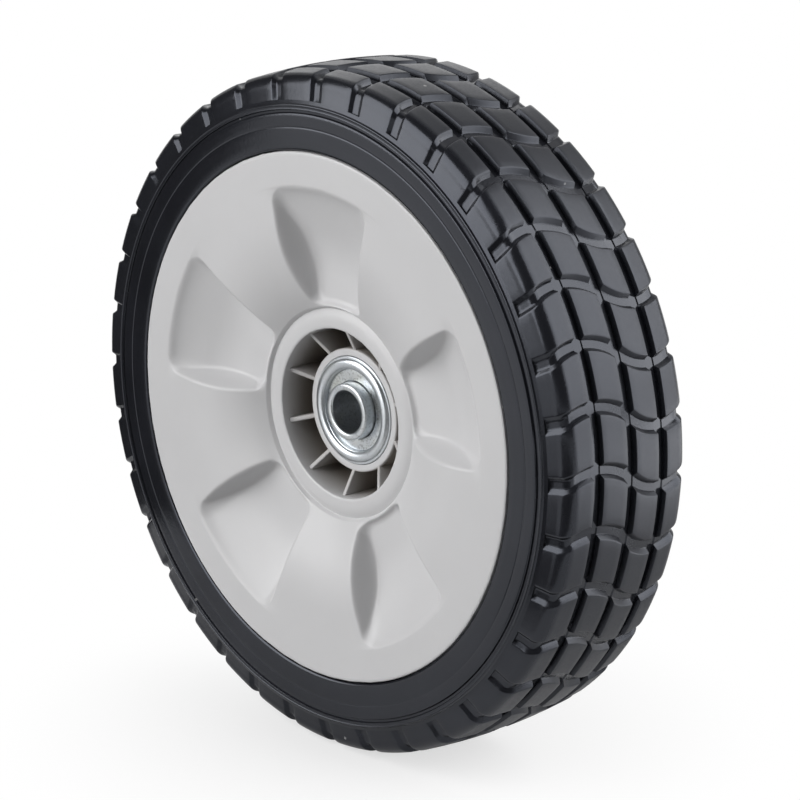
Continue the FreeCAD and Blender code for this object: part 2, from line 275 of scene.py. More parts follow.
def rounded(corners):
    """Outline through (radius, place, cut) corners, each corner drawn as a parabola between its two cuts."""
    corners = np.array(corners, float)
    at, cut = corners[:, :2], corners[:, 2:]
    before = np.roll(at, 1, 0) - at
    after = np.roll(at, -1, 0) - at
    start = at + cut * before / np.linalg.norm(before, axis=1, keepdims=True)
    end = at + cut * after / np.linalg.norm(after, axis=1, keepdims=True)
    t = np.linspace(0, 1, CORNER_POINTS)[:, None]
    path = (1 - t) ** 2 * start[:, None] + 2 * t * (1 - t) * at[:, None] + t ** 2 * end[:, None]
    return path.reshape(-1, 2)


def turned(outline):
    """Closed outline of (radius, place) points carried round the axle."""
    phi = np.linspace(0, 2 * np.pi, TURNED_COLUMNS, endpoint=False)
    return round_axle(outline[:, :1], outline[:, 1:], phi[None])


def smooth_min(a, b, blend):
    """The smaller of two heights, eased where they are closer than the blend."""
    return np.minimum(a, b) - np.maximum(blend - np.abs(a - b), 0) ** 2 / (4 * blend)


def smooth_max(a, b, blend):
    """The larger of two heights, eased where they are closer than the blend."""
    return -smooth_min(-a, -b, blend)


# Tyre
# Distances from a groove's middle line, and the share of the groove's depth there
GROOVE_STEPS = np.array([0.5, 1.45, 1.76, 1.88, 2.12]) * MM
GROOVE_FALL = np.array([1, 1, 0.12, 0.03, 0])
CROSS_STEPS = np.array([0.55, 1.1, 1.3, 2.05, 2.25, 2.6]) * MM
CROSS_FALL = np.array([1, 1, 0.9, 0.13, 0.035, 0])


def side_outline(s):
    """Side of the tyre from its seat out to the notch ends.

    The points are drops from the tread and insets from the side, in millimetres.
    """
    edge = [(22.95, 0.7), (22.9, 0.3), (22.65, 0.09), (22.2, 0), (20.0, 0), (18.2, 0)]
    faint_line = [(16.75, 0), (16.6, 0.02), (16.45, 0.07), (16.25, 0.07), (16.1, 0.02), (15.95, 0)]
    plain = [(14.8, 0), (13.6, 0), (12.65, 0)]
    groove = [(12.42, 0.06), (12.28, 0.25), (12.1, 0.7), (11.5, 0.7), (11.32, 0.25), (11.2, 0.14)]
    bead = [(11.0, 0.17), (10.5, 0.26), (10.32, 0.2), (10.15, 0.14), (9.9, 0.2), (9.72, 0.45)]
    ledge = [(9.6, 0.69), (9.1, 0.9), (8.75, 1.04)]
    drop, inset = np.array(edge + faint_line + plain + groove + bead + ledge).T * MM
    return s.radius - drop, s.half_width - inset


def lug_outline(s):
    """Outer end of the lugs: up the leaning side, then a quarter turn round the shoulder.

    The weight is the share of the cross grooves' depth that a point takes.
    """
    notch = s.radius - s.notch_length
    top = s.radius - s.crown_drop - s.shoulder
    shoulder = s.half_width - s.shoulder_inset
    foot = s.half_width - s.lug_foot_inset
    share = np.array([-0.004, 0.01, 0.04, 0.4, 0.8])
    turn = np.linspace(0, np.pi / 2, 11)
    radius = np.concatenate([notch + share * (top - notch), top + s.shoulder * np.sin(turn)])
    place = np.concatenate([foot + share * (shoulder - foot), shoulder - s.shoulder * (1 - np.cos(turn))])
    cut = s.notch_depth / s.cross_depth
    weight = np.concatenate([[0, 0.93 * cut, cut, cut, cut], cut + (1 - cut) * turn / turn[-1]])
    return radius, place, weight


def crown_outline(s):
    """Crown from the shoulder to the middle, with close points at the round grooves."""
    flat = s.half_width - s.shoulder_inset - s.shoulder
    close = GROOVE_STEPS[::-1]
    outer = np.linspace(flat, s.groove_spacing + close[0], 5)[1:-1]
    inner = np.linspace(s.groove_spacing - close[0], close[0], 6)[1:-1]
    place = np.concatenate([outer, s.groove_spacing + close, s.groove_spacing - GROOVE_STEPS, inner, close])
    return s.radius - s.crown_drop * (place / flat) ** 2, place


def seat_outline(s, rim):
    """Seat on the rim from the inboard side to the outboard side, with the two key ways."""
    gap = s.bore - rim.radius
    top = s.bore + rim.key_height
    near = (rim.key_spacing - rim.key_width) / 2 - gap
    far = (rim.key_spacing + rim.key_width) / 2 + gap
    radius = np.array([s.bore, top, top, s.bore])
    place = np.array([far, far, near, near])
    return np.concatenate([radius, radius[::-1]]), np.concatenate([place, -place[::-1]])


def wave(place, s):
    """Sideways swing of the cross grooves and its slope: an arc one way outboard, the other way inboard."""
    middle = (s.half_width + s.wave_margin) / 2
    height = np.where(place < 0, s.wave_outboard, s.wave_inboard)
    arc = (middle ** 2 + height ** 2) / (2 * height)
    along = np.abs(place) - middle
    rise = np.sqrt(arc ** 2 - along ** 2)
    return -np.sign(place) * (rise - arc + height), along / rise


def section_normal(radius, place):
    """Normal of a closed section, square to the line between a point's neighbours."""
    run = np.roll(radius, -1) - np.roll(radius, 1)
    rise = np.roll(place, -1) - np.roll(place, 1)
    size = np.hypot(run, rise)
    return (rise / size)[:, None], (-run / size)[:, None]


def round_groove_depth(place, weight, s):
    """Depth of the round grooves on the tread, by the distance from the nearest one."""
    away = np.abs(place)
    nearest = np.abs(away - s.groove_spacing * np.round(away / s.groove_spacing))
    tread = (weight >= 1) & (away < 1.5 * s.groove_spacing)
    return np.where(tread, np.interp(nearest, GROOVE_STEPS, GROOVE_FALL * s.groove_depth), 0)


def tyre_surface(s, rim):
    """Tyre as a section carried round the axle.

    Each point is the smooth section less its normal times a depth, the larger of the depth of the round
    grooves, by the distance along the axle, and of the cross grooves, by the distance from a wavy line.
    """
    side_radius, side_place = side_outline(s)
    lug_radius, lug_place, lug_weight = lug_outline(s)
    crown_radius, crown_place = crown_outline(s)
    seat_radius, seat_place = seat_outline(s, rim)
    half_radius = np.concatenate([side_radius, lug_radius, crown_radius])
    half_place = np.concatenate([side_place, lug_place, crown_place])
    half_weight = np.concatenate([0 * side_radius, lug_weight, 1 + 0 * crown_radius])
    radius = np.concatenate([half_radius, half_radius[::-1], seat_radius])
    outer_place = np.concatenate([-half_place, half_place[::-1]])
    place = np.concatenate([outer_place, seat_place])
    weight = np.concatenate([half_weight, half_weight[::-1], 0 * seat_radius])

    swing, slope = wave(outer_place, s)
    edge_swing, edge_slope = wave(np.array(s.half_width), s)
    swing = np.concatenate([swing, edge_swing * seat_place / s.half_width])[:, None]
    stretch = np.sqrt(1 + np.concatenate([slope, edge_slope + 0 * seat_place]) ** 2)[:, None]
    pitch = 2 * np.pi / s.lugs
    offset = np.concatenate([-CROSS_STEPS[::-1], [0], CROSS_STEPS])
    share = np.linspace(0, 1, 6)[1:-1]
    edge = CROSS_STEPS[-1] * stretch
    across = np.concatenate([offset * stretch, edge + (pitch * s.radius - 2 * edge) * share], 1)
    cross_depth = np.interp(np.abs(offset), CROSS_STEPS, CROSS_FALL * s.cross_depth)
    cross_depth = np.concatenate([cross_depth, 0 * share])
    depth = np.maximum(round_groove_depth(place, weight, s)[:, None], weight[:, None] * cross_depth)
    depth[len(outer_place):] = 0

    phi = s.start + (across + swing) / s.radius
    phi = (phi[:, None] + pitch * np.arange(s.lugs)[:, None]).reshape(len(radius), -1)
    depth = np.tile(depth, s.lugs)
    normal_out, normal_along = section_normal(radius, place)
    return round_axle(radius[:, None] - normal_out * depth, place[:, None] - normal_along * depth, phi)


# Rim
# Gap of a fit, depth to which plates are sunk into walls, chamfer, rounding of a rib, least depth of a petal
FIT = 0.03 * MM
SUNK = 0.6 * MM
CHAMFER = 0.5 * MM
RIB_ROUNDING = 0.45 * MM
LEAST_ROOM = 0.05 * MM


def dish(radius, s):
    """Depth of the disc: flat at the edge, then an arc down to the hub ring."""
    reach = s.flat_radius - s.recess - s.ring_width
    bend = (reach ** 2 + s.dish_depth ** 2) / (2 * s.dish_depth)
    run = np.clip(s.flat_radius - radius, 0, reach)
    return bend - np.sqrt(bend ** 2 - run ** 2)


def petal_floor(radius, s):
    """Depth of a petal's floor: level out to a soft crease, then rising to the outer end."""
    slope = (s.petal_depth - s.petal_end_depth) / (s.petal_end - s.petal_crease)
    return s.petal_depth - slope * smooth_max(radius - s.petal_crease, 0, s.petal_crease_bend)


def cornered(side, side_slope, end, end_slope, corner):
    """Depth at which a point meets a leaning side, a leaning end or the arc that rounds their corner.

    The outline draws in by the slopes as it goes deeper, so the arc gives a quadratic in the depth.
    """
    across = corner - side
    along = corner - end
    a = side_slope ** 2 + end_slope ** 2
    b = side_slope * across + end_slope * along
    root = b ** 2 - a * (across ** 2 + along ** 2 - corner ** 2)
    arc = (np.sqrt(np.maximum(root, 0)) - b) / a
    on_arc = (root > 0) & (across + side_slope * arc > 0) & (along + end_slope * arc > 0)
    return np.where(on_arc, arc, np.minimum(side / side_slope, end / end_slope))


def petal_ends(radius, s):
    """Distances in from a petal's outer end and from its inner end, at the level of the face."""
    return s.petal_end - radius, radius - s.petal_foot + s.petal_foot_slope * s.petal_depth


def face_depth(radius, sideways, s, grow=0):
    """Depth of the rim's face: the dish, or a petal where its floor, sides and ends lie deeper."""
    disc = dish(radius, s)
    floor = petal_floor(radius, s)
    along = np.sqrt(np.maximum(radius ** 2 - sideways ** 2, 0))
    side = s.petal_half_width + s.petal_taper * along - np.abs(sideways) + grow
    outer, inner = petal_ends(radius, s)
    wall = np.minimum(cornered(side, s.petal_slope, outer + grow, s.petal_end_slope, s.petal_corner),
                      cornered(side, s.petal_slope, inner + grow, s.petal_foot_slope, s.petal_corner))
    room = np.maximum(floor - disc, LEAST_ROOM)
    petal = smooth_min(floor, wall, np.minimum(s.petal_fillet, 0.5 * room))
    return smooth_max(disc, petal, np.minimum(s.petal_edge, 0.6 * room))


def petal_columns(radius, grow, s):
    """Angles of the grid from halfway before a petal to halfway after it, close together at its outline."""
    disc = dish(radius, s)
    depths = np.concatenate([disc, np.maximum(petal_floor(radius, s), disc + 0.6 * MM)], 1)
    straight = s.petal_half_width - s.petal_slope * depths
    edges = straight + s.petal_taper * radius
    for _ in range(3):
        edges = straight + s.petal_taper * np.sqrt(radius ** 2 - edges ** 2)
    outer, inner = petal_ends(radius, s)
    room = np.minimum(outer - s.petal_end_slope * disc, inner - s.petal_foot_slope * disc) + grow
    short = np.clip(s.petal_corner - room, 0, s.petal_corner)
    draw_in = s.petal_corner - np.sqrt(s.petal_corner ** 2 - short ** 2)
    top = edges[:, :1] - draw_in + grow
    wide = edges[:, :1] - edges[:, 1:]
    share = np.array([-0.2, -0.08, 0, 0.1, 0.22, 0.38, 0.54, 0.7, 0.84, 0.95, 1.05, 1.16, 1.3, 1.5, 1.8])
    wall = top + wide * (share - 1)
    floor = wall[:, :1] * np.array([0, 0.2, 0.4, 0.56, 0.7, 0.81, 0.89, 0.95])
    near = np.arcsin(np.concatenate([floor, wall], 1) / radius)
    rest = np.array([0.2, 0.5, 0.78, 1])
    far = near[:, -1:] + (np.pi / s.petals - near[:, -1:]) * rest
    half = np.concatenate([near, far], 1)
    return np.concatenate([-half[:, :0:-1], half[:, :-1]], 1)


def rim_face_rows(s):
    """Radii of the face from the edge in to the hub ring, close together at both ends of the petals."""
    ring = s.recess + s.ring_width
    close = np.array([0.8, 0.55, 0.35, 0.2, 0.08, -0.04, -0.16, -0.3, -0.46, -0.65, -0.9, -1.2, -1.6]) * MM
    outer = np.linspace(s.radius - 1.2 * MM, s.petal_end + 1.2 * MM, 7)
    middle = np.linspace(s.petal_end - 2.2 * MM, s.petal_foot + 4 * MM, 31)
    inner = np.linspace(s.petal_foot + 3.6 * MM, ring + 0.8 * MM, 20)
    return np.concatenate([outer, s.petal_end + close, middle, inner[:-1]])


def rim_shell(s):
    """Barrel, dished disc with petals, hub ring and hub wall as one closed section carried round the axle.

    Each entry holds the radii and the places of a stretch. The face and the back of the disc get their
    places from the depth of the dish and the petals.
    """
    face = RIM_LOW.y
    back = RIM_HIGH.y
    level = face + s.ring_depth
    ring = s.recess + s.ring_width
    inner = s.radius - s.barrel_wall
    hub_outer = s.recess + s.hub_wall
    edge = np.array([(0, 0.6), (0.1, 0.25), (0.3, 0.08), (0.62, 0)]) * MM
    ring_edge = np.array([(0.7, 0.6), (0.6, 0.68), (0.53, 0.82), (0.4, 0.87), (0.15, 0.77), (-0.6, 0.45),
                          (-1.4, 0.2), (-2.2, 0.06), (-3.0, 0)]) * MM
    recess_edge = np.array([(0.8, 0), (0.35, 0.06), (0.1, 0.25), (0, 0.6)]) * MM
    face_rows = rim_face_rows(s)
    back_rows = np.linspace(hub_outer + SUNK, inner - SUNK, 60)
    key_top = s.radius + s.key_height
    key_far = (s.key_spacing + s.key_width) / 2
    key_near = (s.key_spacing - s.key_width) / 2
    key_radius = np.array([s.radius, key_top, key_top, s.radius])
    key_place = np.array([key_far, key_far, key_near, key_near])

    hub = [
        (ring + ring_edge[:, 0], level + ring_edge[:, 1]),
        (np.linspace(ring - 3.5 * MM, s.recess + 1.5 * MM, 4), np.full(4, level)),
        (s.recess + recess_edge[:, 0], level + recess_edge[:, 1]),
        (np.full(8, s.recess), np.linspace(level + 3 * MM, s.hub_back - 2 * MM, 8)),
        ([s.recess, s.recess + CHAMFER], [s.hub_back - CHAMFER, s.hub_back]),
        ([hub_outer - CHAMFER, hub_outer], [s.hub_back, s.hub_back - CHAMFER]),
        ([hub_outer], [face + s.dish_depth + s.disc_wall]),
    ]
    barrel = [
        ([inner, inner, inner + CHAMFER, s.radius - CHAMFER, s.radius],
         [face + s.disc_wall, back - CHAMFER, back, back, back - CHAMFER]),
        (key_radius, key_place),
        (key_radius[::-1], -key_place[::-1]),
    ]
    stretches = [(s.radius - edge[:, 0], face + edge[:, 1]), (face_rows, 0 * face_rows), *hub,
                 (back_rows, 0 * back_rows), *barrel]
    radius, place = (np.concatenate(values)[:, None] for values in zip(*stretches))
    front = slice(len(edge), len(edge) + len(face_rows))
    rear_start = front.stop + sum(len(radii) for radii, places in hub)
    rear = slice(rear_start, rear_start + len(back_rows))

    grow = np.zeros_like(radius)
    grow[rear] = s.petal_wall
    turn = petal_columns(radius, grow, s)
    depth = face_depth(radius, radius * np.sin(turn), s, grow)
    place = place + 0 * depth
    place[front] = face + depth[front]
    place[rear] = face + s.disc_wall + depth[rear]
    sector = 2 * np.pi / s.petals * np.arange(s.petals)[:, None]
    phi = (s.start + turn[:, None] + sector).reshape(len(radius), -1)
    return round_axle(radius, np.tile(place, s.petals), phi)


def rib(radius, front, back, half_wall, phi):
    """Thin plate along a radius: a rounded oblong section carried outwards, closed to a line at both ends."""
    bend = min(half_wall, RIB_ROUNDING)
    turn = np.linspace(0, np.pi, 7)
    half = (half_wall - bend) * np.sign(np.cos(turn).round(6)) + bend * np.cos(turn)
    lift = bend * (1 - np.sin(turn))
    along = np.concatenate([front[:, None] + lift, back[:, None] - lift], 1)
    ends = np.array([0] + [1] * len(radius) + [0])[:, None]
    radius = np.concatenate([radius[:1], radius, radius[-1:]])[:, None]
    along = np.concatenate([along[:1], along, along[-1:]])
    along = np.where(ends, along, along.mean(1, keepdims=True))
    sideways = np.concatenate([half, -half]) * ends
    x = radius * math.cos(phi) - sideways * math.sin(phi)
    z = radius * math.sin(phi) + sideways * math.cos(phi)
    return np.stack([x, along, z], -1)


def rim_surfaces(s, bearing):
    """Shell, sleeve, web, hub ribs and back ribs of the moulding."""
    face = RIM_LOW.y
    sleeve_end = face + s.sleeve_depth
    flange = flange_place(bearing, s)
    flange_floor = flange + bearing.flange_wall + FIT
    cup_back = flange + bearing.cup_length
    seat = bearing.flange + 0.1 * MM
    fit = bearing.cup + FIT
    throat = bearing.cup - s.throat_step
    half = [(throat, cup_back, 0), (fit, cup_back, 0), (fit, flange_floor, 0), (seat, flange_floor, 0),
            (seat, sleeve_end, 0.15 * MM), (s.sleeve, sleeve_end, 0.55 * MM)]
    other = [(r, 2 * SPAN_MIDDLE - y, cut) for r, y, cut in half[::-1]]
    inner = s.sleeve - SUNK
    outer = s.recess + SUNK
    web_front = SPAN_MIDDLE - s.web_wall / 2
    web_back = SPAN_MIDDLE + s.web_wall / 2
    web = [(inner, web_front, 0), (outer, web_front, 0), (outer, web_back, 0), (inner, web_back, 0)]
    surfaces = [rim_shell(s), turned(rounded(half + other)), turned(rounded(web))]

    hub_radius = np.array([inner, s.sleeve, s.recess, outer])
    low = sleeve_end + FIT
    hub_front = np.array([low, low, face + s.rib_depth, face + s.rib_depth])
    hub_back = np.full_like(hub_radius, s.hub_back - SUNK)
    back_radius = np.linspace(s.recess + s.hub_wall / 2, s.radius - s.barrel_wall / 2, 30)
    back_end = np.full_like(back_radius, RIM_HIGH.y - s.back_rib_set)
    for step in range(2 * s.petals):
        phi = s.start + step * math.pi / s.petals
        surfaces.append(rib(hub_radius, hub_front, hub_back, s.rib_wall / 2, phi))
        sideways = back_radius * (math.sin(math.pi / s.petals) if step % 2 else 0)
        back_front = face + face_depth(back_radius, sideways, s) + s.disc_wall / 2
        surfaces.append(rib(back_radius, back_front, back_end, s.back_rib_wall / 2, phi))
    return surfaces


# Bearings
def flange_place(s, rim):
    """Place of the outboard flange's face along the axle."""
    return RIM_LOW.y + rim.sleeve_depth - s.flange_proud


def race_arc(s, rim, wall, middle):
    """Arc of a race round the balls, about a middle angle, between its two ends at the radius of a wall."""
    pitch = (s.ring_shoulder + s.cup_mouth) / 2
    ball_place = flange_place(s, rim) + s.ball_depth
    rise = abs(wall - pitch)
    half = math.atan2(math.sqrt(s.race ** 2 - rise ** 2), rise)
    sweep = np.linspace(middle + half, middle - half, 13)
    return np.stack([pitch + s.race * np.cos(sweep), ball_place + s.race * np.sin(sweep)], 1)


def cup_outline(s, rim):
    """Section of a cup: pressed ridge as an arc, thin flange edge, lip at the back, race and mouth."""
    y = flange_place(s, rim)
    back = y + s.cup_length
    inside = back - s.lip_wall
    turn = np.linspace(0, np.pi, 15)
    ridge = np.stack([s.ridge - s.ridge_width * np.cos(turn), y - s.ridge_height * np.sin(turn) ** 0.8], 1)
    edge = rounded([(s.ridge + s.ridge_width, y, 0), (s.flange, y, 0.3 * MM),
                    (s.flange, y + s.flange_wall, 0.1 * MM), (s.cup, y + s.flange_wall, 0),
                    (s.cup, back, 0.8 * MM), (s.cup_lip, back, 0.2 * MM), (s.cup_lip, inside, 0.2 * MM),
                    (s.cup_mouth, inside, 0)])
    mouth = np.array([(s.cup_mouth, y + 0.4 * MM), (s.cup_mouth + 0.12 * MM, y + 0.1 * MM)])
    return np.concatenate([ridge, edge, race_arc(s, rim, s.cup_mouth, 0), mouth])


def ring_outline(s, rim):
    """Section of an inner ring: bore, rounded lip, plain neck, shoulder and race."""
    y = flange_place(s, rim)
    end = y - s.ring_proud
    shoulder = y + s.shield_set + s.shield_wall + 0.2 * MM
    neck = y + s.cup_length - 1.3 * MM
    tail = y + s.cup_length + 0.4 * MM
    front = rounded([(s.bore, tail, 0.2 * MM), (s.bore, end, 0.8 * MM), (s.ring, end, 0.7 * MM),
                     (s.ring, shoulder, 0.15 * MM), (s.ring_shoulder, shoulder, 0.1 * MM)])
    back = rounded([(s.ring_shoulder, neck, 0.1 * MM), (s.ring, neck, 0.1 * MM), (s.ring, tail, 0.2 * MM)])
    return np.concatenate([front[:-2], race_arc(s, rim, s.ring_shoulder, math.pi), back])


def shield_outline(s, rim):
    """Section of a shield: a washer with softened edges."""
    y = flange_place(s, rim) + s.shield_set
    inner = s.ring + s.shield_gap
    outer = s.cup_mouth - FIT
    return rounded([(inner, y, 0.15 * MM), (outer, y, 0.2 * MM), (outer, y + s.shield_wall, 0.1 * MM),
                    (inner, y + s.shield_wall, 0.1 * MM)])


def both_ends(outline, side):
    """The outboard outline, or its mirror image about the middle of the axle span."""
    if side == "outboard":
        return outline
    return np.stack([outline[:, 0], 2 * SPAN_MIDDLE - outline[:, 1]], 1)


# Materials
def feed(tree, node, inputs):
    """Links other nodes' outputs into a node's inputs, or sets plain values on them."""
    for socket, value in inputs.items():
        if isinstance(value, bpy.types.NodeSocket):
            tree.links.new(value, node.inputs[socket])
        else:
            node.inputs[socket].default_value = value


def add_node(tree, kind, inputs, **settings):
    """New node with its settings and inputs."""
    node = tree.nodes.new(kind)
    for key, value in settings.items():
        setattr(node, key, value)
    feed(tree, node, inputs)
    return node


def calc(tree, operation, *values):
    """Result of a Math node."""
    return add_node(tree, "ShaderNodeMath", dict(enumerate(values)), operation=operation).outputs[0]


def ramp(tree, value, start, end, low=0.0, high=1.0, kind="LINEAR"):
    """Goes from low at the start to high at the end, and holds both beyond."""
    inputs = {"Value": value, "From Min": start, "From Max": end, "To Min": low, "To Max": high}
    return add_node(tree, "ShaderNodeMapRange", inputs, interpolation_type=kind).outputs[0]


def tone_range(tree, value, low, high):
    """The middle half of a noise turned into a factor between two numbers."""
    return ramp(tree, value, 0.25, 0.75, low, high)


def mixed(tree, share, first, second):
    """Colour that goes from the first to the second with the share."""
    return add_node(tree, "ShaderNodeMix", {0: share, 6: first, 7: second}, data_type="RGBA").outputs[2]


def tinted(tree, base, factor):
    """A plain colour made lighter and darker by a factor."""
    node = add_node(tree, "ShaderNodeVectorMath", {0: base, "Scale": factor}, operation="SCALE")
    return node.outputs["Vector"]


def noise(tree, place, scale, detail, roughness=0.5):
    """Noise that varies about a half."""
    inputs = {"Vector": place, "Scale": scale, "Detail": detail, "Roughness": roughness}
    return add_node(tree, "ShaderNodeTexNoise", inputs).outputs["Fac"]


def bumped(tree, height, strength, distance):
    """Normal that follows a height."""
    inputs = {"Height": height, "Strength": strength, "Distance": distance}
    return add_node(tree, "ShaderNodeBump", inputs).outputs["Normal"]


def distance_from_middle(tree, place):
    """Distance of a point from the wheel's middle."""
    return add_node(tree, "ShaderNodeVectorMath", {0: place}, operation="LENGTH").outputs["Value"]


def distance_from_axle(tree, place):
    """Radius of a point about the axle."""
    flat = add_node(tree, "ShaderNodeVectorMath", {0: place, 1: (1, 0, 1)}, operation="MULTIPLY")
    return distance_from_middle(tree, flat.outputs["Vector"])


def place_on_axle(tree, place):
    """Place of a point along the axle."""
    return add_node(tree, "ShaderNodeSeparateXYZ", {0: place}).outputs["Y"]


def new_group(name, inputs, outputs):
    """Shader node group and its input sockets; 1, 3 or 4 numbers stand for a value, vector or colour."""
    kinds = {1: "NodeSocketFloat", 3: "NodeSocketVector", 4: "NodeSocketColor"}
    group = bpy.data.node_groups.new(name, "ShaderNodeTree")
    for label, default in inputs.items():
        socket = group.interface.new_socket(label, in_out="INPUT", socket_type=kinds[np.size(default)])
        socket.default_value = default
    for label, numbers in outputs.items():
        group.interface.new_socket(label, in_out="OUTPUT", socket_type=kinds[numbers])
    return group, group.nodes.new("NodeGroupInput").outputs


def moulded_grain_group(name):
    """Fine grain and slow drift of a moulded surface: a height from both, a tone and a gloss value."""
    group, given = new_group(name, {"Vector": (0, 0, 0), "Grain Scale": 900.0, "Drift Scale": 30.0},
                             {"Height": 1, "Tone": 1, "Gloss": 1})
    grain = noise(group, given["Vector"], given["Grain Scale"], 3.0, 0.6)
    drift = noise(group, given["Vector"], given["Drift Scale"], 4.0, 0.55)
    height = calc(group, "MULTIPLY_ADD", drift, 0.25, grain)
    add_node(group, "NodeGroupOutput", {"Height": height, "Tone": drift, "Gloss": grain})
    return group


def specks_group(name):
    """Scattered specks: a disc in a share of the cells of a cell pattern, its size different in each."""
    group, given = new_group(name, {"Vector": (0, 0, 0), "Scale": 260.0, "Size": 0.16, "Share": 0.12},
                             {"Mask": 1})
    cells = add_node(group, "ShaderNodeTexVoronoi",
                     {"Vector": given["Vector"], "Scale": given["Scale"]}).outputs
    pick = add_node(group, "ShaderNodeSeparateColor", {"Color": cells["Color"]}).outputs
    chosen = calc(group, "LESS_THAN", pick["Red"], given["Share"])
    reach = calc(group, "MULTIPLY", given["Size"], pick["Green"])
    inside = calc(group, "LESS_THAN", cells["Distance"], reach)
    add_node(group, "NodeGroupOutput", {"Mask": calc(group, "MULTIPLY", inside, chosen)})
    return group


def plating_group(name):
    """Zinc plating: a drifting yellowish tint, dark fine pits, and gloss that follows the drift."""
    group, given = new_group(name, {"Vector": (0, 0, 0), "Zinc": (0.6, 0.6, 0.6, 1),
                                    "Tint": (0.55, 0.5, 0.4, 1), "Amount": 0.5},
                             {"Color": 4, "Roughness": 1, "Height": 1})
    pit = (0.12, 0.12, 0.11, 1)
    drift = noise(group, given["Vector"], 160.0, 3.0)
    grain = noise(group, given["Vector"], 1400.0, 2.0)
    tint = calc(group, "MULTIPLY", ramp(group, drift, 0.42, 0.68), given["Amount"])
    pitted = calc(group, "MULTIPLY", ramp(group, grain, 0.5, 0.72), given["Amount"])
    plated = mixed(group, tint, given["Zinc"], given["Tint"])
    rough = ramp(group, drift, 0.3, 0.75, 0.27, 0.36)
    add_node(group, "NodeGroupOutput", {"Color": mixed(group, pitted, plated, pit), "Roughness": rough,
                                        "Height": grain})
    return group


EFFECTS = {"moulded grain": moulded_grain_group, "specks": specks_group, "plating": plating_group}


def effect(tree, name, inputs):
    """Outputs of a shared effect, whose group is built the first time that a material asks for it."""
    group = bpy.data.node_groups.get(name) or EFFECTS[name](name)
    return add_node(tree, "ShaderNodeGroup", inputs, node_tree=group).outputs


def start_material(name):
    """Empty material with a Principled shader, and the object coordinates that its patterns read."""
    material = bpy.data.materials.new(name)
    material.use_nodes = True
    tree = material.node_tree
    shader = tree.nodes["Principled BSDF"]
    place = tree.nodes.new("ShaderNodeTexCoord").outputs["Object"]
    return material, tree, shader, place


def rubber_material(s):
    """Moulded rubber with fine grain and a few pale specks.

    It is dull on top of the blocks, satin on the outer ends of the lugs and glossy elsewhere. The masks
    for this are products of two ramps, over the radius and over the distance from the middle plane.
    """
    material, tree, shader, place = start_material("tyre rubber")
    grain = effect(tree, "moulded grain", {"Vector": place, "Grain Scale": 1100.0, "Drift Scale": 45.0})
    specks = effect(tree, "specks", {"Vector": place, "Scale": 210.0, "Size": 0.13, "Share": 0.06})
    base = tinted(tree, s.rubber, tone_range(tree, grain["Tone"], 0.75, 1.3))
    radius = distance_from_axle(tree, place)
    sideways = calc(tree, "ABSOLUTE", place_on_axle(tree, place))
    blocks = calc(tree, "MULTIPLY", ramp(tree, radius, s.radius - 2.1 * MM, s.radius - 1.3 * MM),
                  ramp(tree, sideways, s.half_width - 2 * MM, s.half_width - 6 * MM))
    lug_ends = calc(tree, "MULTIPLY", ramp(tree, radius, s.radius - 12.5 * MM, s.radius - 11.5 * MM),
                    ramp(tree, sideways, s.half_width - 8 * MM, s.half_width - 5 * MM, 0.0, s.flank_rough))
    satin = calc(tree, "MAXIMUM", ramp(tree, blocks, 0.0, 1.0, s.groove_rough, s.crown_rough), lug_ends)
    feed(tree, shader, {
        "Base Color": mixed(tree, specks["Mask"], base, (*s.dust, 1)),
        "Roughness": calc(tree, "MULTIPLY", satin, tone_range(tree, grain["Gloss"], 0.85, 1.15)),
        "Specular Tint": (*s.sheen, 1),
        "Normal": bumped(tree, grain["Height"], 0.25, 0.06 * MM),
    })
    return material


def recess_shade_mask(tree, place, s):
    """Mask of painted shade: 0 on the rim's face, rising to 1 deep in the hub's recess and on the sleeve
    below its end.

    The depth is measured from the hub ring, and the recess fades out again towards the inboard side.
    """
    radius = distance_from_axle(tree, place)
    along = place_on_axle(tree, place)
    ring = RIM_LOW.y + s.ring_depth
    beyond = ramp(tree, radius, s.sleeve - 0.6 * MM, s.sleeve)
    within = ramp(tree, radius, s.recess + 0.5 * MM, s.recess + 0.1 * MM)
    deep = calc(tree, "MINIMUM", ramp(tree, along, ring, ring + 11 * MM),
                ramp(tree, along, ring + 34 * MM, ring + 22 * MM))
    close = ramp(tree, radius, s.sleeve + 0.6 * MM, s.sleeve + 0.2 * MM)
    below = ramp(tree, along, ring + 6.2 * MM, ring + 7 * MM)
    hollow = calc(tree, "MULTIPLY", within, deep)
    wall = calc(tree, "MULTIPLY", close, below)
    return calc(tree, "MULTIPLY", beyond, calc(tree, "MAXIMUM", hollow, wall))


def plastic_material(s):
    """Satin moulded plastic with slow drift in tone, a few dark specks and painted shade deep in the hub's
    recess.
    """
    material, tree, shader, place = start_material("rim plastic")
    grain = effect(tree, "moulded grain", {"Vector": place, "Grain Scale": 1500.0, "Drift Scale": 22.0})
    specks = effect(tree, "specks", {"Vector": place, "Scale": 120.0, "Size": 0.05, "Share": 0.05})
    base = tinted(tree, s.plastic, tone_range(tree, grain["Tone"], 0.97, 1.03))
    # painted shade: the plastic's colour goes towards the Shade colour deep in the hub's recess, where shadow
    # falls
    shaded = mixed(tree, recess_shade_mask(tree, place, s), base, (*s.shade, 1))
    feed(tree, shader, {
        "Base Color": mixed(tree, specks["Mask"], shaded, (*s.speck, 1)),
        "Roughness": tone_range(tree, grain["Gloss"], 0.3, 0.4),
        "Normal": bumped(tree, grain["Height"], 0.12, 0.05 * MM),
    })
    return material


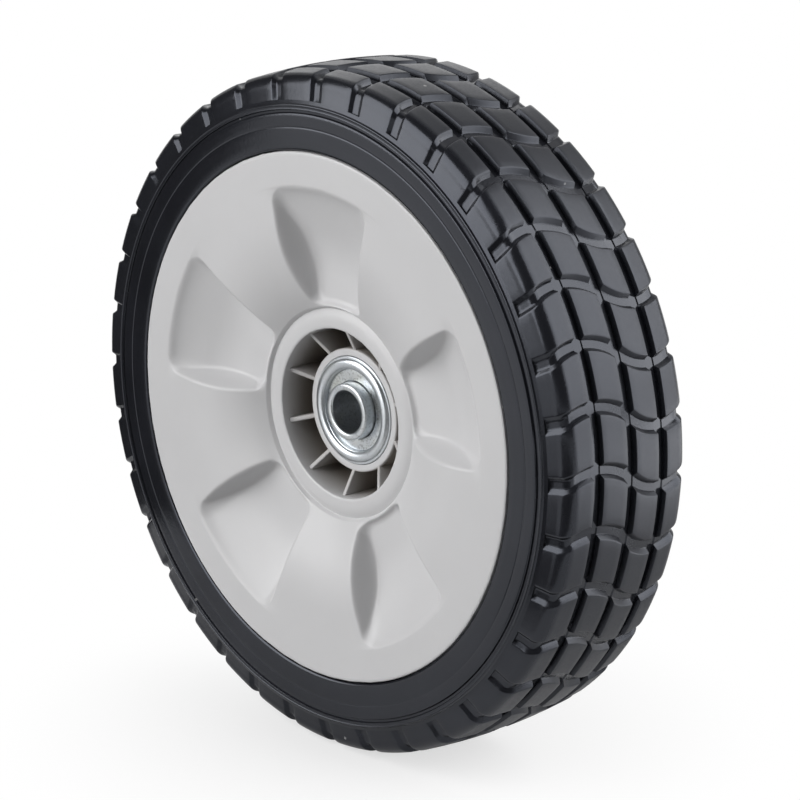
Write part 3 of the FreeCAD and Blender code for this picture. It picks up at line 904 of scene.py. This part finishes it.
def zinc_material(s, name, amount):
    """Zinc plated steel with a share of yellowish passivation."""
    material, tree, shader, place = start_material(name)
    plating = effect(tree, "plating", {"Vector": place, "Zinc": (*s.zinc, 1), "Tint": (*s.passivation, 1),
                                       "Amount": amount})
    feed(tree, shader, {
        "Metallic": 1.0,
        "Base Color": plating["Color"],
        "Roughness": plating["Roughness"],
        "Normal": bumped(tree, plating["Height"], 0.02, 0.02 * MM),
    })
    return material


def ball_material(s):
    """Polished ball steel with faint wear."""
    material, tree, shader, place = start_material("ball steel")
    grain = effect(tree, "moulded grain", {"Vector": place, "Grain Scale": 2500.0, "Drift Scale": 300.0})
    feed(tree, shader, {
        "Metallic": 1.0,
        "Base Color": tinted(tree, s.steel, tone_range(tree, grain["Tone"], 0.92, 1.05)),
        "Roughness": tone_range(tree, grain["Gloss"], 0.1, 0.2),
        "Normal": bumped(tree, grain["Height"], 0.05, 0.02 * MM),
    })
    return material


# Operators
class WHEEL_OT_tyre(bpy.types.Operator):
    """Builds the tyre with its block tread"""

    bl_idname = "wheel.tyre"
    bl_label = "Tyre"

    def execute(self, context):
        wheel = context.scene.wheel
        surface = tyre_surface(wheel.tyre, wheel.rim)
        add_piece("tyre_tread", [surface], rubber_material(wheel.tyre), "wheel", "tyre")
        return {"FINISHED"}


class WHEEL_OT_rim(bpy.types.Operator):
    """Builds the moulded rim with its petals, hub and ribs"""

    bl_idname = "wheel.rim"
    bl_label = "Rim"

    def execute(self, context):
        wheel = context.scene.wheel
        surfaces = rim_surfaces(wheel.rim, wheel.bearing)
        add_piece("rim_moulding", surfaces, plastic_material(wheel.rim), "wheel", "rim")
        return {"FINISHED"}


class WHEEL_OT_bearings(bpy.types.Operator):
    """Builds cup, shield and inner ring of both bearings and gives the balls their finish"""

    bl_idname = "wheel.bearings"
    bl_label = "Bearings"

    def execute(self, context):
        wheel = context.scene.wheel
        s = wheel.bearing
        kinds = [
            ("cup", cup_outline(s, wheel.rim), zinc_material(s, "cup zinc", 0.15), "wheel"),
            ("shield", shield_outline(s, wheel.rim), zinc_material(s, "shield zinc", 0.6), "wheel"),
            ("inner_ring", ring_outline(s, wheel.rim), zinc_material(s, "ring zinc", 0.35), "axle_rings"),
        ]
        for side in ("outboard", "inboard"):
            for kind, outline, material, body in kinds:
                node = side + "_" + kind
                add_piece(node + "_turned", [turned(both_ends(outline, side))], material, body, node)
        steel = ball_material(s)
        for name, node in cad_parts.items():
            if "_ball_" in name:
                node.data.materials.clear()
                node.data.materials.append(steel)
        return {"FINISHED"}


# Stage
# Places are in metres. A wall has its direction, the cosines where it starts and is full, and a brightness.
FLOOR_REACH = 4.0
CARD_LIFT = 0.5 * MM
BOARD_PLACE = -0.2
BOARD_START = -0.172
BOARD_TOP = 0.35
FRONT_BOARD = ((0, -0.9), (0.8, -0.9), (0.8, -0.13), (0, -0.13))
PALE_CARD = ((0.2, 0.12), (1.5, 0.3), (1.2, 1.6), (0.15, 0.6))
WALL_BEHIND = ((-0.6, 0.75, 0.3), 0.4, 0.72, 0.5)
WALL_IN_FRONT = ((-0.6, -0.8, 0.03), 0.8, 0.98, 0.2)
SENSOR_WIDTH = 36
NEAREST = 0.05


def add_lamp(name, place, size, watts):
    """Square soft box that looks at the wheel's middle."""
    data = bpy.data.lights.new(name, "AREA")
    data.shape = "SQUARE"
    data.size = size
    data.energy = watts
    lamp = bpy.data.objects.new(name, data)
    bpy.context.scene.collection.objects.link(lamp)
    turn = (-Vector(place)).to_track_quat("-Z", "Y")
    lamp.matrix_world = Matrix.Translation(place) @ turn.to_matrix().to_4x4()


def seen_directly(tree, share):
    """How white the surroundings show: 1 to camera rays, a share of it to glossy and transmission rays."""
    path = add_node(tree, "ShaderNodeLightPath", {}).outputs
    second = calc(tree, "MAXIMUM", path["Is Glossy Ray"], path["Is Transmission Ray"])
    return calc(tree, "MAXIMUM", path["Is Camera Ray"], calc(tree, "MULTIPLY", second, share))


def floor_material(s):
    """Pale floor that keeps the shadow close to the wheel and fades to white away from it."""
    material, tree, shader, place = start_material("studio floor")
    grain = effect(tree, "moulded grain", {"Vector": place, "Grain Scale": 60.0, "Drift Scale": 2.0})
    tone = ramp(tree, seen_directly(tree, 0.75), 0.0, 1.0, s.bounce)
    drift = calc(tree, "MULTIPLY", tone_range(tree, grain["Tone"], 0.99, 1.01), tone)
    feed(tree, shader, {"Base Color": tinted(tree, s.floor, drift), "Roughness": 0.8})
    away = distance_from_middle(tree, place)
    fade = ramp(tree, away, 0.02, 0.16, kind="SMOOTHSTEP")
    mirrored = ramp(tree, away, 0.2, 0.55, kind="SMOOTHSTEP")
    share = calc(tree, "MULTIPLY", fade, seen_directly(tree, mirrored))
    white = add_node(tree, "ShaderNodeEmission", {"Strength": 1.0}).outputs[0]
    mix = add_node(tree, "ShaderNodeMixShader", {0: share, 1: shader.outputs[0], 2: white})
    feed(tree, tree.nodes["Material Output"], {"Surface": mix.outputs[0]})
    return material


def dark_reflection_material():
    """Dark sheet seen only in reflections: a painted dark reflection that keeps white out of the sides of the
    tyre.
    """
    material, tree, shader, place = start_material("dark reflection board")
    grain = effect(tree, "moulded grain", {"Vector": place, "Grain Scale": 80.0, "Drift Scale": 4.0})
    board_dark = (0.03, 0.03, 0.03)
    feed(tree, shader, {"Base Color": tinted(tree, board_dark, tone_range(tree, grain["Tone"], 0.9, 1.1)),
                        "Roughness": 0.95})
    return material


def card_material():
    """Pale glowing card, brighter away from the wheel."""
    material, tree, shader, place = start_material("pale card")
    glow = ramp(tree, distance_from_middle(tree, place), 0.25, 0.8, 1.3, 2.6)
    feed(tree, shader, {"Base Color": (0.8, 0.8, 0.8, 1), "Emission Color": (1, 1, 1, 1),
                        "Emission Strength": glow})
    return material


def add_sheet(name, corners, material):
    """Flat sheet through four corners."""
    mesh = bpy.data.meshes.new(name)
    mesh.from_pydata(corners, [], [(0, 1, 2, 3)])
    mesh.materials.append(material)
    sheet = bpy.data.objects.new(name, mesh)
    bpy.context.scene.collection.objects.link(sheet)
    return sheet


def add_card(name, corners, material):
    """Flat card of the studio that shows in reflections only."""
    card = add_sheet(name, corners, material)
    card.visible_camera = False
    card.visible_diffuse = False
    card.visible_shadow = False


def white_wall(tree, towards, centre, edge, full, strength):
    """Brightness of a white wall round a direction, fading to nothing by the cosine of the angle."""
    near = add_node(tree, "ShaderNodeVectorMath", {0: towards, 1: Vector(centre).normalized()},
                    operation="DOT_PRODUCT")
    return ramp(tree, near.outputs["Value"], edge, full, 0.0, strength, "SMOOTHSTEP")


def world_light(scene, strength):
    """Even fill light; the camera sees white, and shiny surfaces see white walls behind and in front."""
    world = bpy.data.worlds.new("studio")
    world.use_nodes = True
    tree = world.node_tree
    towards = tree.nodes.new("ShaderNodeTexCoord").outputs["Generated"]
    behind = white_wall(tree, towards, *WALL_BEHIND)
    in_front = white_wall(tree, towards, *WALL_IN_FRONT)
    seen = seen_directly(tree, calc(tree, "MAXIMUM", behind, in_front))
    level = calc(tree, "MAXIMUM", seen, strength)
    feed(tree, tree.nodes["Background"], {"Color": (1, 1, 1, 1), "Strength": level})
    scene.world = world


def add_camera(scene, s):
    """Camera at its place, turned by the azimuth and the elevation."""
    back = Vector((math.sin(s.azimuth) * math.cos(s.elevation), -math.cos(s.azimuth) * math.cos(s.elevation),
                   math.sin(s.elevation)))
    right = Vector((math.cos(s.azimuth), math.sin(s.azimuth), 0))
    up = back.cross(right)
    data = bpy.data.cameras.new("camera")
    data.sensor_width = SENSOR_WIDTH
    data.lens = s.lens
    data.clip_start = NEAREST
    camera = bpy.data.objects.new("camera", data)
    scene.collection.objects.link(camera)
    turn = Matrix((right, up, back)).transposed().to_4x4()
    camera.matrix_world = Matrix.Translation(s.place) @ turn
    scene.camera = camera


class WHEEL_OT_stage(bpy.types.Operator):
    """Sets up floor, light and camera"""

    bl_idname = "wheel.stage"
    bl_label = "Stage"

    def execute(self, context):
        scene = context.scene
        s = scene.wheel.stage
        level = TYRE_LOW.z
        square = [(-1, -1), (1, -1), (1, 1), (-1, 1)]
        corners = [(x * FLOOR_REACH, y * FLOOR_REACH, level) for x, y in square]
        floor = add_sheet("floor", corners, floor_material(s))

        raised = level + CARD_LIFT
        upright = [(BOARD_START, raised), (0, raised), (0, BOARD_TOP), (BOARD_START, BOARD_TOP)]
        # dark boards seen only in reflections: painted dark reflections on the tyre and the plating
        add_card("dark board", [(BOARD_PLACE, y, z) for y, z in upright], dark_reflection_material())
        add_card("front board", [(x, y, raised) for x, y in FRONT_BOARD], dark_reflection_material())
        add_card("pale card", [(x, y, raised) for x, y in PALE_CARD], card_material())

        world_light(scene, s.fill)
        add_lamp("key", (-0.6, -1.2, 0.66), 1.5, s.key)
        add_lamp("right back", (1.0, 0.73, 0.72), 1.6, s.right)
        add_lamp("left back", (-0.9, 0.91, 0.55), 0.8, s.left)
        add_camera(scene, s)
        scene.view_settings.view_transform = "Standard"
        return {"FINISHED"}


# Add-on
class WheelSettings(bpy.types.PropertyGroup):
    """All settings of the wheel."""

    tyre: PointerProperty(type=TyreSizes)
    rim: PointerProperty(type=RimSizes)
    bearing: PointerProperty(type=BearingSizes)
    stage: PointerProperty(type=StageSettings)


class WHEEL_PT_panel(bpy.types.Panel):
    """Lists the steps and sizes of the wheel"""

    bl_idname = "WHEEL_PT_panel"
    bl_label = "Mower wheel"
    bl_space_type = "VIEW_3D"
    bl_region_type = "UI"
    bl_category = "Wheel"

    def draw(self, context):
        wheel = context.scene.wheel
        groups = [(WHEEL_OT_tyre, wheel.tyre), (WHEEL_OT_rim, wheel.rim), (WHEEL_OT_bearings, wheel.bearing),
                  (WHEEL_OT_stage, wheel.stage)]
        for operator, settings in groups:
            box = self.layout.box()
            box.operator(operator.bl_idname)
            for name in settings.__annotations__:
                box.prop(settings, name)


CLASSES = (TyreSizes, RimSizes, BearingSizes, StageSettings, WheelSettings, WHEEL_OT_tyre, WHEEL_OT_rim,
           WHEEL_OT_bearings, WHEEL_OT_stage, WHEEL_PT_panel)


def register():
    for item in CLASSES:
        bpy.utils.register_class(item)
    bpy.types.Scene.wheel = PointerProperty(type=WheelSettings)


def unregister():
    del bpy.types.Scene.wheel
    for item in reversed(CLASSES):
        bpy.utils.unregister_class(item)


def main():
    register()
    bpy.ops.wheel.tyre()
    bpy.ops.wheel.rim()
    bpy.ops.wheel.bearings()
    bpy.ops.wheel.stage()


if __name__ == "__main__":
    main()
